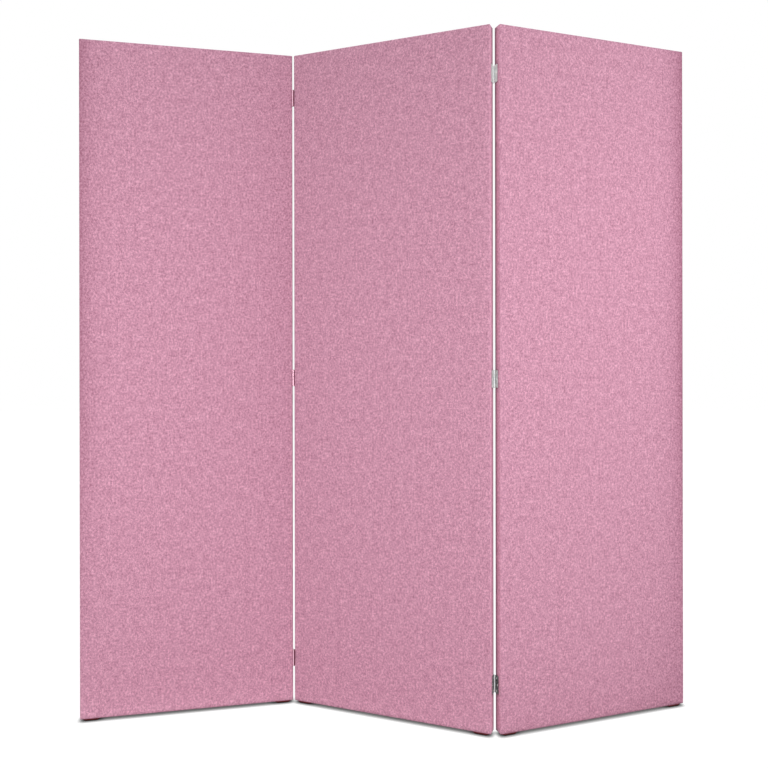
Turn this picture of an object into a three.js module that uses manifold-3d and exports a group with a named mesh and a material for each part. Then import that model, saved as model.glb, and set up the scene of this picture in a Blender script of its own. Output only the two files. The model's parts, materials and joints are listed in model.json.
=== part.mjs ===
// Free-standing folding room divider: three tall upholstered panels that are joined edge to edge
// by butt hinges and stand in a zigzag on low glides. Millimetres, +Z up.
// The origin is on the floor, under the middle of the part as it stands.
// Each panel is built in a frame of its own: X along its width from its middle, Y from its front
// face to its back face, and Z up from the lower edge of its cover.

import * as THREE from 'three';
import { mergeVertices } from 'three/addons/utils/BufferGeometryUtils.js';
import { RoundedBoxGeometry } from 'three/addons/geometries/RoundedBoxGeometry.js';
import Module from 'manifold-3d';

const wasm = await Module();
wasm.setup();

// Panel, over its cover
const panelWidth = 500;
const panelHeight = 1600;
const panelThickness = 28;
const coverEdgeRadius = 2;

// How the divider stands, in degrees: the centre panel's turn, and how far each joint is folded
const centreTurn = -22;
const leftFold = 34.6;
const rightFold = 41.4;

// The faces and edges of a panel: on which side of its middle they lie, along Y and X
const faces = { front: -1, back: 1 };
const edges = { left: -1, right: 1 };

// Room between two pieces that lie against each other
const clearance = 0.3;

// How far a cutting shape runs past the surface that it cuts
const overrun = 1;

// Upholstery
const coverThickness = 1.1;
const padThickness = 2.3;
const hemWidth = 8.5;
const hemStop = 12;

// Wooden frame
const stileWidth = 40;
const railHeight = 40;
const tenonLength = 12;
const tenonThickness = 8;
const tenonShoulder = 6;

// Butt hinges
const hingeHeight = 40;
const hingeFromEnd = 106;
const pinRadius = 1.2;
const pinHeadRadius = 1.9;
const pinHeadHeight = 0.6;
const pinHeadFlat = 1.1;
const leafThickness = 1;
const leafReach = 17;
const leafSpacing = 0.4;
const leafCornerRadius = 1.5;
const curlGap = 0.3;
const axisStandoff = 1.2;
const knuckleCount = 5;

// Countersunk screws of the hinges
const hingeScrewLength = 16;
const hingeScrewRadius = 1.3;
const hingeScrewTip = 3;
const screwHeadRadius = 2.5;
const screwHeadRim = 0.2;
const screwHeadHeight = 1.3;
const screwHeadSink = 0.15;
const outerScrewOffset = 9;
const middleScrewOffset = 13;
const screwPitch = 14.4;

// Glides and the screws that hold them
const glideLength = 38;
const glideWidth = 20;
const glideHeight = 5.5;
const glideInset = 6;
const glideCornerRadius = 5;
const glideChamferLength = 4;
const glideChamferHeight = 3.2;
const glideScrewLength = 22;
const glideScrewRadius = 1.75;
const glideScrewTip = 4;
const glideScrewHeadRadius = 3.4;
const glideScrewHeadHeight = 2;
const glideScrewHeadRim = 0.8;
const glideScrewSink = 0.8;

// Facets of the round forms
const coverEdgeFacets = 2;
const knuckleFacets = 5;
const cornerFacets = 2;
const roundFacets = 8;
const holeFacets = 6;

// Sizes that follow from the ones above
const barrelRadius = pinRadius + clearance + leafThickness;
const panelSpacing = leafSpacing + 2 * leafThickness;
const knucklePitch = hingeHeight / knuckleCount;
const frameWidth = panelWidth - 2 * (coverThickness + clearance);
const frameHeight = panelHeight - 2 * (coverThickness + clearance);
const frameDepth = panelThickness - 2 * (coverThickness + padThickness + 2 * clearance);
const frameBase = coverThickness + clearance;
const bayWidth = frameWidth - 2 * stileWidth;
const bayHeight = (frameHeight - 3 * railHeight) / 2;
const hingeHeights = {
  lower: hingeFromEnd,
  middle: panelHeight / 2,
  upper: panelHeight - hingeFromEnd,
};
const glideFromMiddle = panelWidth / 2 - glideInset - glideLength / 2;

// The places of a leaf's three screws: distance from the hinge's axis, and height from its middle
const hingeScrewPlaces = [
  [outerScrewOffset, -screwPitch],
  [middleScrewOffset, 0],
  [outerScrewOffset, screwPitch],
];

// Solids

function solidOf(geometry) {
  geometry.deleteAttribute('normal');
  geometry.deleteAttribute('uv');
  const merged = mergeVertices(geometry);
  return new wasm.Manifold(new wasm.Mesh({
    numProp: 3,
    vertProperties: Float32Array.from(merged.attributes.position.array),
    triVerts: Uint32Array.from(merged.index.array),
  }));
}

function geometryOf(solid) {
  const mesh = solid.getMesh();
  const geometry = new THREE.BufferGeometry();
  geometry.setAttribute('position', new THREE.BufferAttribute(mesh.vertProperties, mesh.numProp));
  geometry.setIndex(new THREE.BufferAttribute(mesh.triVerts, 1));
  geometry.computeVertexNormals();
  return geometry;
}

// A box from its limits along X, Y and Z.
function boxBetween([x0, x1], [y0, y1], [z0, z1]) {
  return new THREE.BoxGeometry(x1 - x0, y1 - y0, z1 - z0)
    .translate((x0 + x1) / 2, (y0 + y1) / 2, (z0 + z1) / 2);
}

// A box with all its edges rounded, centred on X and Y, with its lowest face at the height base.
function roundedBox(width, depth, height, radius, base) {
  return new RoundedBoxGeometry(width, depth, height, coverEdgeFacets, radius)
    .translate(0, 0, base + height / 2);
}

// A body of revolution about X, from (radius, place along X) points that run along +X.
function turnedAlongX(profile, facets) {
  const points = profile.map(([radius, along]) => new THREE.Vector2(radius, along));
  return new THREE.LatheGeometry(points, facets).rotateZ(-Math.PI / 2);
}

// A body of revolution about Z, from (radius, height) points that run upwards.
function turnedAlongZ(profile, facets) {
  const points = profile.map(([radius, height]) => new THREE.Vector2(radius, height));
  return new THREE.LatheGeometry(points, facets).rotateX(Math.PI / 2);
}

// A rectangle with round corners, about the middle of the plane.
function roundedRectangle(width, depth, radius) {
  const shape = new THREE.Shape();
  const x = width / 2 - radius;
  const y = depth / 2 - radius;
  shape.absarc(x, y, radius, 0, Math.PI / 2, false);
  shape.absarc(-x, y, radius, Math.PI / 2, Math.PI, false);
  shape.absarc(-x, -y, radius, Math.PI, 1.5 * Math.PI, false);
  shape.absarc(x, -y, radius, 1.5 * Math.PI, 2 * Math.PI, false);
  return shape;
}

function extrude(shape, depth, curveSegments) {
  return new THREE.ExtrudeGeometry(shape, { depth, curveSegments, bevelEnabled: false });
}

// Finishes: each mesh gets a material of its own

function finish(color, roughness, metalness) {
  return new THREE.MeshStandardMaterial({ color, roughness, metalness });
}

const cloth = () => finish(0xd094af, 0.95, 0);
const wadding = () => finish(0xe9e4da, 1, 0);
const timber = () => finish(0xc9a674, 0.75, 0);
const fibreboard = () => finish(0xa98f6b, 0.9, 0);
const platedSteel = () => finish(0xc9ccd0, 0.28, 1);
const darkPlastic = () => finish(0x241614, 0.55, 0);

function named(name, geometry, material) {
  const mesh = new THREE.Mesh(geometry, material);
  mesh.name = name;
  return mesh;
}

// Hinge leaves. A leaf is drawn about the hinge's axis: X runs into the panel that carries the
// leaf, Y runs across that panel's edge from the hinge's face, and Z is up from the hinge's middle.

const leafInnerFace = leafSpacing / 2;
const leafOuterFace = leafInnerFace + leafThickness;
const plateStart = barrelRadius + clearance;
const boreRadius = pinRadius + clearance;

// The turn and place, in a panel's frame, of a leaf on the edge at side, with its hinge at face.
function leafPlace(side, face, height) {
  const turn = new THREE.Matrix4();
  if (side === edges.right && face === faces.back) turn.makeRotationZ(Math.PI);
  if (side === edges.right && face === faces.front) turn.makeRotationY(Math.PI);
  if (side === edges.left && face === faces.back) turn.makeRotationX(Math.PI);
  const x = side * (panelWidth + panelSpacing) / 2;
  const y = face * (panelThickness / 2 + axisStandoff);
  return turn.setPosition(x, y, height);
}

// The section of a rolled knuckle: the strip comes up the plate, goes round the bore and ends
// at a narrow gap beside the plate.
function knuckleSection() {
  const outerStart = Math.acos(leafOuterFace / barrelRadius);
  const innerEnd = Math.acos(leafInnerFace / boreRadius);
  const curlEnd = Math.acos((leafInnerFace - curlGap) / boreRadius) - 2 * Math.PI;
  const stubEnd = plateStart + leafThickness;
  const shape = new THREE.Shape();
  shape.moveTo(leafOuterFace, stubEnd);
  shape.lineTo(leafOuterFace, barrelRadius * Math.sin(outerStart));
  shape.absarc(0, 0, barrelRadius, outerStart, curlEnd, true);
  shape.absarc(0, 0, boreRadius, curlEnd, innerEnd, false);
  shape.lineTo(leafInnerFace, stubEnd);
  shape.closePath();
  return shape;
}

// The plate behind the knuckles, with its two far corners rounded.
function leafPlate() {
  const half = hingeHeight / 2;
  const corner = half - leafCornerRadius;
  const far = leafReach - leafCornerRadius;
  const shape = new THREE.Shape();
  shape.moveTo(plateStart, -half);
  shape.lineTo(far, -half);
  shape.absarc(far, -corner, leafCornerRadius, -Math.PI / 2, 0, false);
  shape.absarc(far, corner, leafCornerRadius, 0, Math.PI / 2, false);
  shape.lineTo(plateStart, half);
  shape.closePath();
  const toLeafFrame = new THREE.Matrix4().makeBasis(
    new THREE.Vector3(0, 1, 0),
    new THREE.Vector3(0, 0, 1),
    new THREE.Vector3(1, 0, 0),
  );
  toLeafFrame.setPosition(leafInnerFace, 0, 0);
  return extrude(shape, leafThickness, 1).applyMatrix4(toLeafFrame);
}

function hingeScrew() {
  return turnedAlongX([
    [0, 0],
    [screwHeadRadius, 0],
    [screwHeadRadius, screwHeadRim],
    [hingeScrewRadius, screwHeadHeight],
    [hingeScrewRadius, hingeScrewLength - hingeScrewTip],
    [0, hingeScrewLength],
  ], roundFacets);
}

// The step by which a driven head lies below the face of its leaf.
function headRecess() {
  return turnedAlongX([
    [0, -overrun],
    [screwHeadRadius, -overrun],
    [screwHeadRadius, screwHeadSink],
    [0, screwHeadSink],
  ], roundFacets);
}

// A leaf with its knuckles, counted from the lower end, and its three driven screws.
function hingeLeaf(name, knuckles) {
  let leaf = solidOf(leafPlate());
  for (const knuckle of knuckles) {
    const low = -hingeHeight / 2 + knuckle * knucklePitch + clearance / 2;
    const curl = extrude(knuckleSection(), knucklePitch - clearance, knuckleFacets);
    leaf = leaf.add(solidOf(curl.translate(0, 0, low)));
  }
  for (const [offset, height] of hingeScrewPlaces) {
    leaf = leaf.add(solidOf(hingeScrew().translate(leafInnerFace, offset, height)));
    leaf = leaf.subtract(solidOf(headRecess().translate(leafInnerFace, offset, height)));
  }
  return named(name, geometryOf(leaf), platedSteel());
}

// The pin fills the barrel, with a low head formed at each end.
function hingePin(name) {
  const shoulder = (hingeHeight + clearance) / 2;
  const end = shoulder + pinHeadHeight;
  return named(name, turnedAlongZ([
    [0, -end],
    [pinHeadFlat, -end],
    [pinHeadRadius, -shoulder],
    [pinRadius, -shoulder],
    [pinRadius, shoulder],
    [pinHeadRadius, shoulder],
    [pinHeadFlat, end],
    [0, end],
  ], roundFacets), platedSteel());
}

// The room that a leaf takes in the panel: where it is pressed into the cover, and the holes
// of its screws.
function leafSeat() {
  const halfHeight = hingeHeight / 2 + clearance;
  const seat = boxBetween(
    [leafOuterFace - overrun, leafOuterFace + clearance],
    [-overrun, leafReach + clearance],
    [-halfHeight, halfHeight],
  );
  return solidOf(seat);
}

function hingeScrewHoles() {
  return hingeScrewPlaces.map(([offset, height]) => {
    const radius = hingeScrewRadius + clearance;
    const end = hingeScrewLength + clearance;
    const hole = turnedAlongX([[0, 0], [radius, 0], [radius, end], [0, end]], holeFacets);
    return solidOf(hole.translate(leafInnerFace, offset, height));
  });
}

// The solids of cuts, made in the frame of a leaf, moved to each place on the panel.
function cutAtHinges(solid, hinges, makeCuts) {
  let left = solid;
  for (const { side, face } of hinges) {
    for (const height of Object.values(hingeHeights)) {
      const place = leafPlace(side, face, height);
      for (const cut of makeCuts()) {
        left = left.subtract(cut.transform(place.elements));
      }
    }
  }
  return left;
}

// Panel pieces

// A straight hole up from below the panel, for a glide's screw.
function glideScrewHole(side) {
  const radius = glideScrewRadius + clearance;
  const top = glideScrewLength + clearance;
  const hole = turnedAlongZ([[0, -overrun], [radius, -overrun], [radius, top], [0, top]], holeFacets);
  return solidOf(hole.translate(side * glideFromMiddle, 0, 0));
}

// The sleeve of fabric: a thin shell whose lower edges are turned under to a long opening
// between the glides.
function cover(name, hinges) {
  const inner = coverThickness;
  const innerHeight = panelHeight - 2 * inner;
  const outside = roundedBox(panelWidth, panelThickness, panelHeight, coverEdgeRadius, 0);
  const inside = roundedBox(
    panelWidth - 2 * inner,
    panelThickness - 2 * inner,
    innerHeight,
    coverEdgeRadius - inner,
    inner,
  );
  const openingX = glideFromMiddle - glideLength / 2 - hemStop;
  const openingY = panelThickness / 2 - hemWidth;
  const opening = boxBetween([-openingX, openingX], [-openingY, openingY], [-overrun, inner + overrun]);
  let shell = solidOf(outside).subtract(solidOf(inside)).subtract(solidOf(opening));
  shell = cutAtHinges(shell, hinges, () => [leafSeat(), ...hingeScrewHoles()]);
  for (const side of Object.values(edges)) {
    shell = shell.subtract(glideScrewHole(side));
  }
  return named(name, geometryOf(shell), cloth());
}

// The space inside the cover, less the clearance. What fills the cover is cut to it, so that its
// edges follow the cover's rounded edges.
function insideOfCover() {
  const inset = coverThickness + clearance;
  return solidOf(roundedBox(
    frameWidth,
    panelThickness - 2 * inset,
    frameHeight,
    coverEdgeRadius - inset,
    frameBase,
  ));
}

// The lower edge of each rail, from the lower edge of the frame.
const railBases = {
  bottom: 0,
  middle: railHeight + bayHeight,
  top: 2 * (railHeight + bayHeight),
};

// An upright of the frame, with its ends eased to the cover, a mortise for each rail, and the
// holes of the screws that go into it.
function stile(name, side, hinges) {
  const outer = side * frameWidth / 2;
  const inner = outer - side * stileWidth;
  const blank = boxBetween(
    [Math.min(outer, inner), Math.max(outer, inner)],
    [-frameDepth / 2, frameDepth / 2],
    [frameBase, frameBase + frameHeight],
  );
  let upright = solidOf(blank).intersect(insideOfCover());
  for (const base of Object.values(railBases)) {
    const reach = inner + side * (tenonLength + clearance);
    const mouth = inner - side * overrun;
    const halfThickness = tenonThickness / 2 + clearance;
    const low = frameBase + base + tenonShoulder - clearance;
    const high = frameBase + base + railHeight - tenonShoulder + clearance;
    const mortise = boxBetween(
      [Math.min(mouth, reach), Math.max(mouth, reach)],
      [-halfThickness, halfThickness],
      [low, high],
    );
    upright = upright.subtract(solidOf(mortise));
  }
  upright = cutAtHinges(upright, hinges.filter((hinge) => hinge.side === side), hingeScrewHoles);
  upright = upright.subtract(glideScrewHole(side));
  return named(name, geometryOf(upright), timber());
}

// A cross rail between the stiles, with a tenon at each end and its edges eased to the cover.
function rail(name, base) {
  const low = frameBase + base;
  const halfBody = bayWidth / 2 - clearance;
  const halfTenon = bayWidth / 2 + tenonLength;
  const body = boxBetween(
    [-halfBody, halfBody],
    [-frameDepth / 2, frameDepth / 2],
    [low, low + railHeight],
  );
  const tenons = boxBetween(
    [-halfTenon, halfTenon],
    [-tenonThickness / 2, tenonThickness / 2],
    [low + tenonShoulder, low + railHeight - tenonShoulder],
  );
  const whole = solidOf(body).add(solidOf(tenons)).intersect(insideOfCover());
  return named(name, geometryOf(whole), timber());
}

// A board that fills one bay of the frame.
function core(name, base) {
  const low = frameBase + base + railHeight + clearance;
  const halfWidth = bayWidth / 2 - clearance;
  const board = boxBetween(
    [-halfWidth, halfWidth],
    [-frameDepth / 2, frameDepth / 2],
    [low, low + bayHeight - 2 * clearance],
  );
  return named(name, board, fibreboard());
}

// The wadding between the frame and the cover, on the flat of one face.
function pad(name, face) {
  const halfWidth = panelWidth / 2 - coverEdgeRadius;
  const near = face * (frameDepth / 2 + clearance);
  const far = near + face * padThickness;
  const sheet = boxBetween(
    [-halfWidth, halfWidth],
    [Math.min(near, far), Math.max(near, far)],
    [coverEdgeRadius, panelHeight - coverEdgeRadius],
  );
  return named(name, sheet, wadding());
}

// A low glide under one end of the panel: round corners seen from above, sloped ends seen from
// the front, and a recess for its screw's head.
function glide(name, side) {
  const floor = -(glideHeight + clearance);
  const plan = extrude(
    roundedRectangle(glideLength, glideWidth, glideCornerRadius),
    glideHeight,
    cornerFacets,
  ).translate(0, 0, floor);
  const half = glideLength / 2;
  const front = new THREE.Shape();
  front.moveTo(-half + glideChamferLength, floor);
  front.lineTo(half - glideChamferLength, floor);
  front.lineTo(half, floor + glideChamferHeight);
  front.lineTo(half, overrun);
  front.lineTo(-half, overrun);
  front.lineTo(-half, floor + glideChamferHeight);
  front.closePath();
  const ends = extrude(front, glideWidth, cornerFacets)
    .rotateX(Math.PI / 2)
    .translate(0, glideWidth / 2, 0);
  const recessTop = floor + glideScrewSink + glideScrewHeadHeight;
  const shankRadius = glideScrewRadius + clearance;
  const headRadius = glideScrewHeadRadius + clearance;
  const recess = turnedAlongZ([
    [0, floor - overrun],
    [headRadius, floor - overrun],
    [headRadius, recessTop + clearance],
    [shankRadius, recessTop + clearance],
    [shankRadius, overrun],
    [0, overrun],
  ], roundFacets);
  const solid = solidOf(plan).intersect(solidOf(ends)).subtract(solidOf(recess));
  const mesh = named(name, geometryOf(solid), darkPlastic());
  mesh.position.x = side * glideFromMiddle;
  return mesh;
}

// The screw of a glide: a low domed head, a shank and a point.
function glideScrew(name, side) {
  const low = -(glideHeight + clearance) + glideScrewSink;
  const seat = low + glideScrewHeadHeight;
  const mesh = named(name, turnedAlongZ([
    [0, low],
    [glideScrewRadius, low],
    [glideScrewHeadRadius, low + glideScrewHeadRim],
    [glideScrewHeadRadius, seat],
    [glideScrewRadius, seat],
    [glideScrewRadius, glideScrewLength - glideScrewTip],
    [0, glideScrewLength],
  ], roundFacets), platedSteel());
  mesh.position.x = side * glideFromMiddle;
  return mesh;
}

// A whole panel, without its hinges.
function panel(name, hinges) {
  const group = new THREE.Group();
  group.add(cover(`${name}_cover`, hinges));
  for (const [word, side] of Object.entries(edges)) {
    group.add(stile(`${name}_${word}_stile`, side, hinges));
    group.add(glide(`${name}_${word}_glide`, side));
    group.add(glideScrew(`${name}_${word}_glide_screw`, side));
  }
  for (const [word, base] of Object.entries(railBases)) {
    group.add(rail(`${name}_${word}_rail`, base));
  }
  group.add(core(`${name}_lower_core`, railBases.bottom));
  group.add(core(`${name}_upper_core`, railBases.middle));
  for (const [word, face] of Object.entries(faces)) {
    group.add(pad(`${name}_${word}_pad`, face));
  }
  return group;
}

// The leaves on one edge of a panel, one for each hinge of that joint.
function addLeaves(group, joint, role, side, face, knuckles) {
  for (const [word, height] of Object.entries(hingeHeights)) {
    const leaf = hingeLeaf(`${joint}_${word}_hinge_${role}_leaf`, knuckles);
    leaf.applyMatrix4(leafPlace(side, face, height));
    group.add(leaf);
  }
}

function addPins(group, joint, side, face) {
  for (const [word, height] of Object.entries(hingeHeights)) {
    const pin = hingePin(`${joint}_${word}_hinge_pin`);
    pin.applyMatrix4(leafPlace(side, face, height));
    group.add(pin);
  }
}

// Turns a panel about Z and moves it, so that the hinge axis at its edge lies at the given place.
function hangPanel(group, degrees, side, face, place) {
  const axis = new THREE.Vector3().setFromMatrixPosition(leafPlace(side, face, 0));
  group.rotation.z = THREE.MathUtils.degToRad(degrees);
  group.position.copy(place).sub(axis.applyAxisAngle(new THREE.Vector3(0, 0, 1), group.rotation.z));
}

// Assembly: the left joint folds at the front faces, and the right joint at the back faces

const centreKnuckles = [0, 2, 4];
const sideKnuckles = [1, 3];

const centrePanel = panel('centre_panel', [
  { side: edges.left, face: faces.front },
  { side: edges.right, face: faces.back },
]);
const leftPanel = panel('left_panel', [{ side: edges.right, face: faces.front }]);
const rightPanel = panel('right_panel', [{ side: edges.left, face: faces.back }]);

addLeaves(centrePanel, 'left', 'centre', edges.left, faces.front, centreKnuckles);
addLeaves(centrePanel, 'right', 'centre', edges.right, faces.back, centreKnuckles);
addLeaves(leftPanel, 'left', 'side', edges.right, faces.front, sideKnuckles);
addLeaves(rightPanel, 'right', 'side', edges.left, faces.back, sideKnuckles);
addPins(centrePanel, 'left', edges.left, faces.front);
addPins(centrePanel, 'right', edges.right, faces.back);

centrePanel.rotation.z = THREE.MathUtils.degToRad(centreTurn);
centrePanel.updateMatrix();
const leftAxis = new THREE.Vector3()
  .setFromMatrixPosition(leafPlace(edges.left, faces.front, 0))
  .applyMatrix4(centrePanel.matrix);
const rightAxis = new THREE.Vector3()
  .setFromMatrixPosition(leafPlace(edges.right, faces.back, 0))
  .applyMatrix4(centrePanel.matrix);
hangPanel(leftPanel, centreTurn + leftFold, edges.right, faces.front, leftAxis);
hangPanel(rightPanel, centreTurn + rightFold, edges.left, faces.back, rightAxis);

// The three panels stand on the floor, and their middle is brought over the origin.
const standing = new THREE.Group();
standing.add(leftPanel, centrePanel, rightPanel);
standing.updateMatrixWorld(true);
const outline = new THREE.Box3().setFromObject(standing, true);
const middle = outline.getCenter(new THREE.Vector3());
standing.position.set(-middle.x, -middle.y, -outline.min.z);

const divider = new THREE.Group();
divider.add(standing);

export default divider;
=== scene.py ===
"""Looks of a free-standing folding room divider: three tall panels covered in pink melange wool
cloth, joined by small plated butt hinges and standing on low dark glides. Metres, +Z up."""

import json
import math

import bmesh
import bpy
import numpy as np
from mathutils import Matrix, Vector


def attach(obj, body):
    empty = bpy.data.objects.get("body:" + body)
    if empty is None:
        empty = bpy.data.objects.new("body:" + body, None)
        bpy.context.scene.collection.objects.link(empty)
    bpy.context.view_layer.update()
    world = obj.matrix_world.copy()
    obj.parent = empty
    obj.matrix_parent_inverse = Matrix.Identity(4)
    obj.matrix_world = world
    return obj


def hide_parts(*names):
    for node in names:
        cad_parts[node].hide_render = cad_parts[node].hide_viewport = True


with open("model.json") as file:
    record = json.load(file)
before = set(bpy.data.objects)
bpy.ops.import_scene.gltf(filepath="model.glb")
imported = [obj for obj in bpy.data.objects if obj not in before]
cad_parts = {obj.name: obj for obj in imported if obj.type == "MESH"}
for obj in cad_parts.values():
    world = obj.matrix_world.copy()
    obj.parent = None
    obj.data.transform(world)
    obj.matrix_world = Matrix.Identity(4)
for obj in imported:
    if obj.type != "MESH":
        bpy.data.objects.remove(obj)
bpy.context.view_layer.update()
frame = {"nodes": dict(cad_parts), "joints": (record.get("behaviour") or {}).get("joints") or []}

MM = 0.001

# Panel, over its cloth
PANEL_WIDTH = 500 * MM
PANEL_HEIGHT = 1600 * MM
PANEL_THICKNESS = 28 * MM
PANEL_BASE = 5.8 * MM
HALF_PANEL = np.array([PANEL_WIDTH, PANEL_THICKNESS, PANEL_HEIGHT]) / 2
EDGE_RADIUS = 2 * MM
CENTRE_TURN = -22.0
LEFT_FOLD = 34.6
RIGHT_FOLD = 41.4

# Cloth
CLOTH_THICKNESS = 1.1 * MM
CLOTH_PROUD = 0.6 * MM
CLOTH_LOFT = 0.8 * MM
EDGE_SQUEEZE = 0.9 * MM
SQUEEZE_REACH = 6 * MM
CLOTH_SWELL = 0.3 * MM
HEM_WIDTH = 8.5 * MM
HEM_END = 194 * MM
LEAF_PRESS = 0.12 * MM
PRESS_REACH = 4 * MM

# Waves in which the cloth swells: how many, their shortest and longest length, and the reach
# over which they start at the panel's edges
SWELL_WAVES = 14
SWELL_LENGTHS = (70 * MM, 320 * MM)
SWELL_EASE = 40 * MM

SHEET_GRID = (113, 37)
SETTLING_FRAMES = 20
SHEET_SETTINGS = {
    "quality": 6,
    "tension_stiffness": 40,
    "compression_stiffness": 40,
    "shear_stiffness": 20,
    "bending_stiffness": 2,
    "use_pressure": True,
    "uniform_pressure_force": 4,
}

# Distances of the cloth's finer lines from the panel's edges
SHOULDER_LINES = np.array([8, 12, 17, 24, 33, 44]) * MM
MIDDLE_LINES_END = 56 * MM
LEAST_LINE_GAP = 0.4 * MM

# Colour of the cloth as a screen shows it: its middle tone and its whole range
WOOL_TONE = (207, 150, 173)
WOOL_RANGE = 100

# Mottling of the cloth: the cells of each noise for a metre across and up, and its strength
FLECKS = (215, 178, 1)
FLECK_STRENGTH = 1.62
STREAKS = (460, 70, 1)
STREAK_STRENGTH = 0.25
CLOUDS = (62, 46, 1)
CLOUD_STRENGTH = 0.3
FELT = (900, 700, 1)

# Painted light and shade on the cloth, as shares of its range of tones: painted shade along the
# edges of each panel, as (side, reach, share), in full above the middle height and fading out
# below it; painted shade in a lower corner, as (side, share); and a painted pale band of light
# from the floor along the lower edge
PAINTED_EDGE_SHADE = {
    "left_panel": ((-1, 22 * MM, 0.27), (1, 120 * MM, 0.11)),
    "centre_panel": ((-1, 120 * MM, 0.04),),
    "right_panel": ((1, 22 * MM, 0.4),),
}
MIDDLE_HEIGHT = 800 * MM
PAINTED_CORNER_SHADE = {"right_panel": (1, 0.2)}
CORNER_SHADE_WIDTH = 90 * MM
CORNER_SHADE_HEIGHT = 300 * MM
PAINTED_FLOOR_BOUNCE = {"left_panel": 0.15, "centre_panel": 0.1}
FLOOR_BOUNCE_REACH = 30 * MM
# Painted light on the side faces of the edges that fold together, as a share of the cloth's range
# of tones
PAINTED_LIGHT_ON_FOLDING_EDGES = 0.18

# Painted shade, as shares of the colour: how far it reaches out of the narrow end of a folding
# gap, up from the lower edge, and round the leaves of the hinges, where shade falls
PAINTED_SHADE_COLOUR = (84, 24, 46)
GAP_SHADE = 0.95
GAP_SHADE_REACH = 8 * MM
LOW_EDGE_SHADE = 0.55
LOW_EDGE_SHADE_REACH = 2.5 * MM
LEAF_SHADE = 0.8
LEAF_SHADE_REACH = 1.5 * MM

# Wadding
PAD_INSET = 2 * MM
PAD_INNER_FACE = 10.3 * MM
PAD_CLEARANCE = 0.15 * MM
PAD_RIM_RADIUS = 1.5 * MM

# Butt hinges
HINGE_HEIGHT = 40 * MM
HINGE_FROM_END = 106 * MM
PIN_RADIUS = 1.2 * MM
BORE_RADIUS = 1.5 * MM
BARREL_RADIUS = 2.5 * MM
LEAF_INNER_FACE = 0.2 * MM
LEAF_OUTER_FACE = 1.2 * MM
LEAF_REACH = 17 * MM
LEAF_CORNER = 1.5 * MM
LEAF_BEVEL = 0.15 * MM
PLATE_START = 2.8 * MM
CURL_GAP = 0.3 * MM
AXIS_STANDOFF = 1.2 * MM
PANEL_SPACING = 2.4 * MM
KNUCKLE_COUNT = 5
KNUCKLE_GAP = 0.3 * MM
KNUCKLE_EASE = 0.12 * MM
PIN_HEAD_RADIUS = 1.9 * MM
PIN_HEAD_HEIGHT = 0.6 * MM
PIN_HEAD_EASE = 0.05 * MM
SCREW_FACETS = 64
SCREW_HEAD_RADIUS = 2.5 * MM
SCREW_HEAD_SINK = 0.12 * MM
SCREW_SHANK_RADIUS = 1.3 * MM
SCREW_HOLE_RADIUS = 1.4 * MM
COUNTERSINK_DEPTH = 1.0 * MM
COUNTERSINK_EASE = 0.12 * MM
CROSS_ARM = 0.42 * MM
CROSS_ARM_EASE = 0.16 * MM
CROSS_REACH = 1.55 * MM
CROSS_REACH_EASE = 0.3 * MM
CROSS_DEPTH = 0.75 * MM
CROSS_TAPER = 3 * MM
SCREW_PLACES = ((9 * MM, -14.4 * MM), (13 * MM, 0.0), (9 * MM, 14.4 * MM))
SCREW_TURNS = (0.5, 2.2, 3.9)
HINGE_HEIGHTS = {
    "lower": HINGE_FROM_END,
    "middle": PANEL_HEIGHT / 2,
    "upper": PANEL_HEIGHT - HINGE_FROM_END,
}

# Colours of the hinges as a screen shows them: the leaves where they are bright and where they
# are dull or darkened by painted shade, and each joint's barrels with a painted highlight on
# one side and painted shade on the other
BRIGHT_LEAF = (248, 252, 250)
DULL_AND_SHADED_LEAF = (52, 48, 58)
LEFT_BARREL_LIGHT_AND_SHADE = ((245, 205, 221), (122, 46, 74))
RIGHT_BARREL_LIGHT_AND_SHADE = ((254, 255, 255), (228, 232, 231))

# Glides
GLIDE_LENGTH = 38 * MM
GLIDE_WIDTH = 20 * MM
GLIDE_HEIGHT = 5.5 * MM
GLIDE_CORNER = 5 * MM
GLIDE_SLOPE_LENGTH = 4 * MM
GLIDE_SLOPE_HEIGHT = 3.2 * MM
GLIDE_FROM_MIDDLE = 225 * MM
GLIDE_RECESS_RADIUS = 3.7 * MM
GLIDE_RECESS_DEPTH = 3.1 * MM
GLIDE_EASE = 0.5 * MM
GLIDE_LIP = 0.3 * MM
GLIDE_FACETS = 64

# Camera and studio: places in metres, lens and sensor in millimetres, lamps in watts
CAMERA_PLACE = (0.0062, -1.913, 0.8442)
CAMERA_ROLL = 0.00156
CAMERA_LENS = 37.642
CAMERA_SENSOR = 36.0
CAMERA_SHIFT = (-0.00695, -0.02826)
LAMPS = {
    "left_front": ((-1.5, -1.6, 1.1), 18.8),
    "right_front": ((1.0, -1.6, 1.1), 13.2),
    "right_side": ((1.7, -0.9, 1.5), 8.5),
    "overhead": ((0.0, 0.0, 3.4), 16),
    "left_back": ((-1.2, 1.8, 1.2), 20),
    "right_back": ((1.4, 1.8, 1.2), 20),
}
LAMP_SIZE = 0.9
LAMP_AIM = (0, 0, 0.9)
AMBIENT = 0.19
FLOOR_REACH = 12.0
FLOOR_WHITE = 0.92
FLOOR_GLOW = 1.08
FLOOR_LIT_SHARE = 0.06
FLOOR_SHADOW_REACH = 0.0115
FLOOR_SHADOW_POWER = 1.8


# Meshes

def in_scene(name, data):
    """A new object of the scene with this mesh, camera or lamp."""
    made = bpy.data.objects.new(name, data)
    bpy.context.scene.collection.objects.link(made)
    return made


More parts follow.
